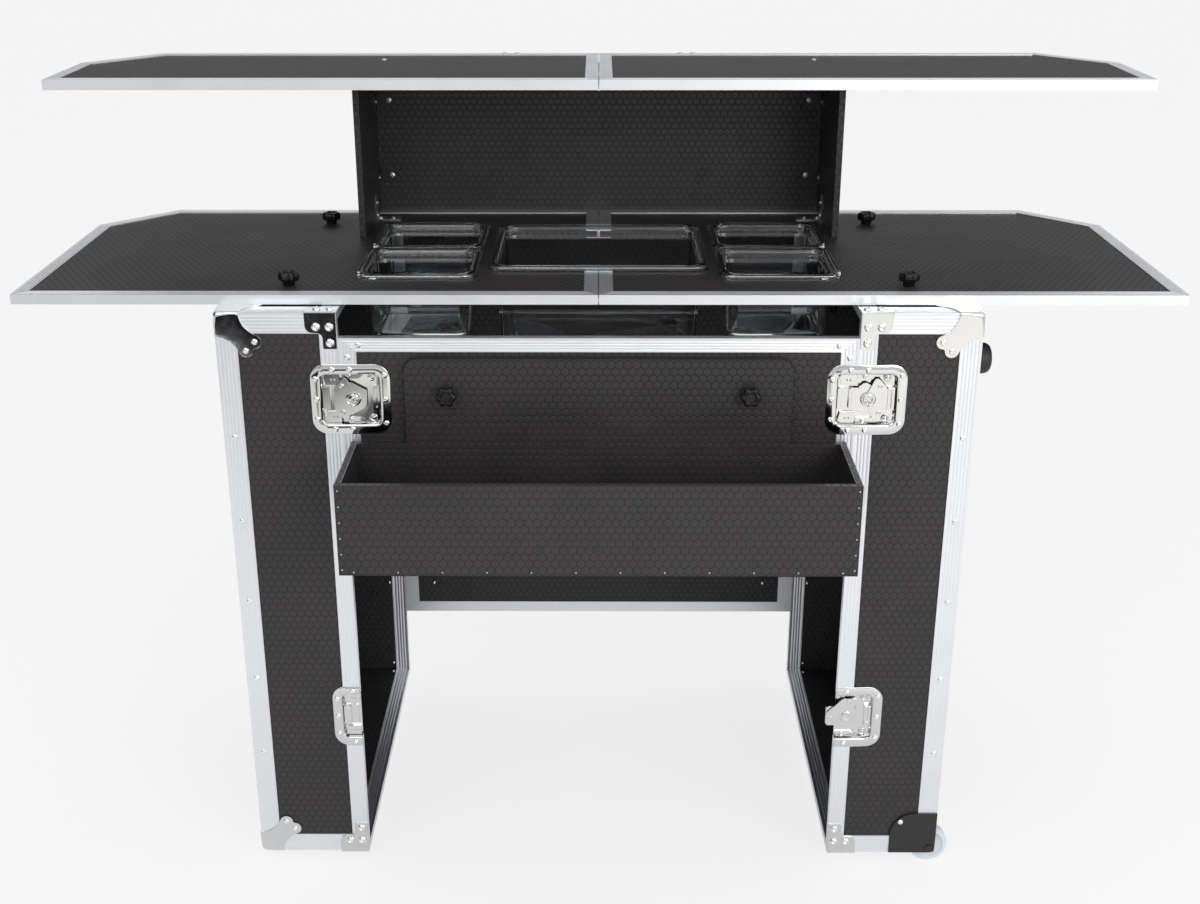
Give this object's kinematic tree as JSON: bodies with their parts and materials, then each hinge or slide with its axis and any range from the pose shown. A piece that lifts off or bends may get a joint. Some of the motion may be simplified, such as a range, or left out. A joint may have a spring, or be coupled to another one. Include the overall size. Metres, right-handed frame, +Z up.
{
  "type": "portable bar",
  "caption": "Folding portable bar on a road-case base, with a black laminate working counter, clear food pans, a bottle tray and a raised serving counter on a riser",
  "frame": {"origin": "centre of the box that bounds the part, on the floor", "axes": "X along the counter, to the bartender's right hand; Y from the bartender to the customers; Z up"},
  "size_m": [1.64, 0.729, 1.1852],
  "materials": {
    "black_laminate": "black laminate with an embossed honeycomb, satin",
    "tray_laminate": "black laminate on birch ply, satin",
    "aluminium_profile": "bright anodised extruded aluminium with fine ribs",
    "bright_steel": "polished nickel-plated pressed steel",
    "zinc_steel": "zinc-plated steel",
    "black_steel": "black powder coat",
    "black_rubber": "matt black rubber",
    "wheel_plastic": "pale translucent wheel plastic",
    "knob_plastic": "matt black moulded plastic",
    "clear_plastic": "clear moulded polycarbonate"
  },
  "bodies": {
    "frame": {"left_leg_panels": "black_laminate", "right_leg_panels": "black_laminate", "left_leg_edge_angles": "aluminium_profile", "right_leg_edge_angles": "aluminium_profile", "left_leg_closing_frame": "aluminium_profile", "right_leg_closing_frame": "aluminium_profile", "corner_caps": "bright_steel", "corner_braces": "bright_steel", "rivets": "bright_steel", "brace_rivets": "bright_steel", "rubber_feet": "black_rubber", "castor_brackets": "black_steel", "castor_axles": "zinc_steel", "handle_dishes": "bright_steel", "latch_keepers": "bright_steel", "latch_dishes": "bright_steel", "apron_panel": "black_laminate", "apron_frame": "aluminium_profile", "fascia_panel": "black_laminate", "fascia_frame": "aluminium_profile", "speed_rail_tray": "tray_laminate", "lower_counter_boards": "black_laminate", "lower_counter_edging": "aluminium_profile", "upper_counter_boards": "black_laminate", "upper_counter_edging": "aluminium_profile", "counter_hinges": "zinc_steel", "riser_panels": "black_laminate", "riser_angles": "black_steel", "riser_foot_brackets": "bright_steel", "screws": "zinc_steel"},
    "castor_wheel_front": {"castor_wheel_front": "wheel_plastic"},
    "castor_wheel_rear": {"castor_wheel_rear": "wheel_plastic"},
    "handle_bail_left": {"handle_bail_left": "black_steel"},
    "handle_bail_right": {"handle_bail_right": "black_steel"},
    "latch_turn_front_upper_left": {"latch_turn_front_upper_left": "bright_steel"},
    "latch_hook_front_upper_left": {"latch_hook_front_upper_left": "bright_steel"},
    "latch_turn_front_upper_right": {"latch_turn_front_upper_right": "bright_steel"},
    "latch_hook_front_upper_right": {"latch_hook_front_upper_right": "bright_steel"},
    "latch_turn_front_lower_right": {"latch_turn_front_lower_right": "bright_steel"},
    "latch_hook_front_lower_right": {"latch_hook_front_lower_right": "bright_steel"},
    "latch_turn_rear_upper_left": {"latch_turn_rear_upper_left": "bright_steel"},
    "latch_hook_rear_upper_left": {"latch_hook_rear_upper_left": "bright_steel"},
    "latch_turn_rear_upper_right": {"latch_turn_rear_upper_right": "bright_steel"},
    "latch_hook_rear_upper_right": {"latch_hook_rear_upper_right": "bright_steel"},
    "latch_turn_rear_lower_left": {"latch_turn_rear_lower_left": "bright_steel"},
    "latch_hook_rear_lower_left": {"latch_hook_rear_lower_left": "bright_steel"},
    "latch_turn_rear_lower_right": {"latch_turn_rear_lower_right": "bright_steel"},
    "latch_hook_rear_lower_right": {"latch_hook_rear_lower_right": "bright_steel"},
    "counter_knob_front_left": {"counter_knob_front_left": "knob_plastic"},
    "counter_knob_front_right": {"counter_knob_front_right": "knob_plastic"},
    "counter_knob_rear_left": {"counter_knob_rear_left": "knob_plastic"},
    "counter_knob_rear_right": {"counter_knob_rear_right": "knob_plastic"},
    "tray_knob_left": {"tray_knob_left": "knob_plastic"},
    "tray_knob_right": {"tray_knob_right": "knob_plastic"},
    "pan_front_left": {"pan_front_left": "clear_plastic"},
    "pan_front_right": {"pan_front_right": "clear_plastic"},
    "pan_rear_left": {"pan_rear_left": "clear_plastic"},
    "pan_rear_right": {"pan_rear_right": "clear_plastic"},
    "pan_centre": {"pan_centre": "clear_plastic"}
  },
  "joints": [
    {"name": "castor_spin_front", "type": "hinge", "parent": "frame", "child": "castor_wheel_front", "pos_m": [0.5215, -0.1865, 0.0305], "axis": [0, 1, 0], "continuous": true},
    {"name": "castor_spin_rear", "type": "hinge", "parent": "frame", "child": "castor_wheel_rear", "pos_m": [0.5215, 0.3395, 0.0305], "axis": [0, 1, 0], "continuous": true},
    {"name": "handle_swing_left", "type": "hinge", "parent": "frame", "child": "handle_bail_left", "pos_m": [-0.5205, 0.0765, 0.566], "axis": [0, 1, 0], "range_deg": [0, 90]},
    {"name": "handle_swing_right", "type": "hinge", "parent": "frame", "child": "handle_bail_right", "pos_m": [0.5205, 0.0765, 0.566], "axis": [0, -1, 0], "range_deg": [0, 90]},
    {"name": "latch_turning_front_upper_left", "type": "hinge", "parent": "frame", "child": "latch_turn_front_upper_left", "pos_m": [-0.344, -0.2045, 0.78], "axis": [0, -1, 0], "range_deg": [0, 180]},
    {"name": "latch_sliding_front_upper_left", "type": "slide", "parent": "frame", "child": "latch_hook_front_upper_left", "axis": [-1, 0, 0], "range_m": [0, 0.005]},
    {"name": "latch_turning_front_upper_right", "type": "hinge", "parent": "frame", "child": "latch_turn_front_upper_right", "pos_m": [0.378, -0.2045, 0.78], "axis": [0, -1, 0], "range_deg": [0, 180]},
    {"name": "latch_sliding_front_upper_right", "type": "slide", "parent": "frame", "child": "latch_hook_front_upper_right", "axis": [-1, 0, 0], "range_m": [0, 0.005]},
    {"name": "latch_turning_front_lower_right", "type": "hinge", "parent": "frame", "child": "latch_turn_front_lower_right", "pos_m": [0.378, -0.2045, 0.267], "axis": [0, -1, 0], "range_deg": [-135, 45]},
    {"name": "latch_sliding_front_lower_right", "type": "slide", "parent": "frame", "child": "latch_hook_front_lower_right", "axis": [-1, 0, 0], "range_m": [-0.00375, 0.00125]},
    {"name": "latch_turning_rear_upper_left", "type": "hinge", "parent": "frame", "child": "latch_turn_rear_upper_left", "pos_m": [-0.344, 0.3575, 0.78], "axis": [0, 1, 0], "range_deg": [0, 180]},
    {"name": "latch_sliding_rear_upper_left", "type": "slide", "parent": "frame", "child": "latch_hook_rear_upper_left", "axis": [-1, 0, 0], "range_m": [0, 0.005]},
    {"name": "latch_turning_rear_upper_right", "type": "hinge", "parent": "frame", "child": "latch_turn_rear_upper_right", "pos_m": [0.378, 0.3575, 0.78], "axis": [0, 1, 0], "range_deg": [0, 180]},
    {"name": "latch_sliding_rear_upper_right", "type": "slide", "parent": "frame", "child": "latch_hook_rear_upper_right", "axis": [-1, 0, 0], "range_m": [0, 0.005]},
    {"name": "latch_turning_rear_lower_left", "type": "hinge", "parent": "frame", "child": "latch_turn_rear_lower_left", "pos_m": [-0.344, 0.3575, 0.267], "axis": [0, 1, 0], "range_deg": [0, 180]},
    {"name": "latch_sliding_rear_lower_left", "type": "slide", "parent": "frame", "child": "latch_hook_rear_lower_left", "axis": [-1, 0, 0], "range_m": [0, 0.005]},
    {"name": "latch_turning_rear_lower_right", "type": "hinge", "parent": "frame", "child": "latch_turn_rear_lower_right", "pos_m": [0.378, 0.3575, 0.267], "axis": [0, 1, 0], "range_deg": [0, 180]},
    {"name": "latch_sliding_rear_lower_right", "type": "slide", "parent": "frame", "child": "latch_hook_rear_lower_right", "axis": [-1, 0, 0], "range_m": [0, 0.005]},
    {"name": "counter_knob_spin_front_left", "type": "hinge", "parent": "frame", "child": "counter_knob_front_left", "pos_m": [-0.441, -0.1135, 0.9208], "axis": [0, 0, 1], "continuous": true},
    {"name": "counter_knob_spin_front_right", "type": "hinge", "parent": "frame", "child": "counter_knob_front_right", "pos_m": [0.441, -0.1135, 0.9208], "axis": [0, 0, 1], "continuous": true},
    {"name": "counter_knob_spin_rear_left", "type": "hinge", "parent": "frame", "child": "counter_knob_rear_left", "pos_m": [-0.441, 0.2605, 0.9208], "axis": [0, 0, 1], "continuous": true},
    {"name": "counter_knob_spin_rear_right", "type": "hinge", "parent": "frame", "child": "counter_knob_rear_right", "pos_m": [0.441, 0.2605, 0.9208], "axis": [0, 0, 1], "continuous": true},
    {"name": "tray_knob_spin_left", "type": "hinge", "parent": "frame", "child": "tray_knob_left", "pos_m": [-0.211, -0.2138, 0.792], "axis": [0, -1, 0], "continuous": true},
    {"name": "tray_knob_spin_right", "type": "hinge", "parent": "frame", "child": "tray_knob_right", "pos_m": [0.211, -0.2138, 0.792], "axis": [0, -1, 0], "continuous": true},
    {"name": "pan_lift_front_left", "type": "slide", "parent": "frame", "child": "pan_front_left", "axis": [0, 0, 1], "range_m": [0, 0.12]},
    {"name": "pan_lift_front_right", "type": "slide", "parent": "frame", "child": "pan_front_right", "axis": [0, 0, 1], "range_m": [0, 0.12]},
    {"name": "pan_lift_rear_left", "type": "slide", "parent": "frame", "child": "pan_rear_left", "axis": [0, 0, 1], "range_m": [0, 0.12]},
    {"name": "pan_lift_rear_right", "type": "slide", "parent": "frame", "child": "pan_rear_right", "axis": [0, 0, 1], "range_m": [0, 0.12]},
    {"name": "pan_lift_centre", "type": "slide", "parent": "frame", "child": "pan_centre", "axis": [0, 0, 1], "range_m": [0, 0.17]}
  ],
  "couplings": [
    {"joint": "latch_sliding_front_upper_left", "follows": "latch_turning_front_upper_left", "m_per_rad": 0.0015915},
    {"joint": "latch_sliding_front_upper_right", "follows": "latch_turning_front_upper_right", "m_per_rad": 0.0015915},
    {"joint": "latch_sliding_front_lower_right", "follows": "latch_turning_front_lower_right", "m_per_rad": 0.0015915},
    {"joint": "latch_sliding_rear_upper_left", "follows": "latch_turning_rear_upper_left", "m_per_rad": 0.0015915},
    {"joint": "latch_sliding_rear_upper_right", "follows": "latch_turning_rear_upper_right", "m_per_rad": 0.0015915},
    {"joint": "latch_sliding_rear_lower_left", "follows": "latch_turning_rear_lower_left", "m_per_rad": 0.0015915},
    {"joint": "latch_sliding_rear_lower_right", "follows": "latch_turning_rear_lower_right", "m_per_rad": 0.0015915}
  ]
}
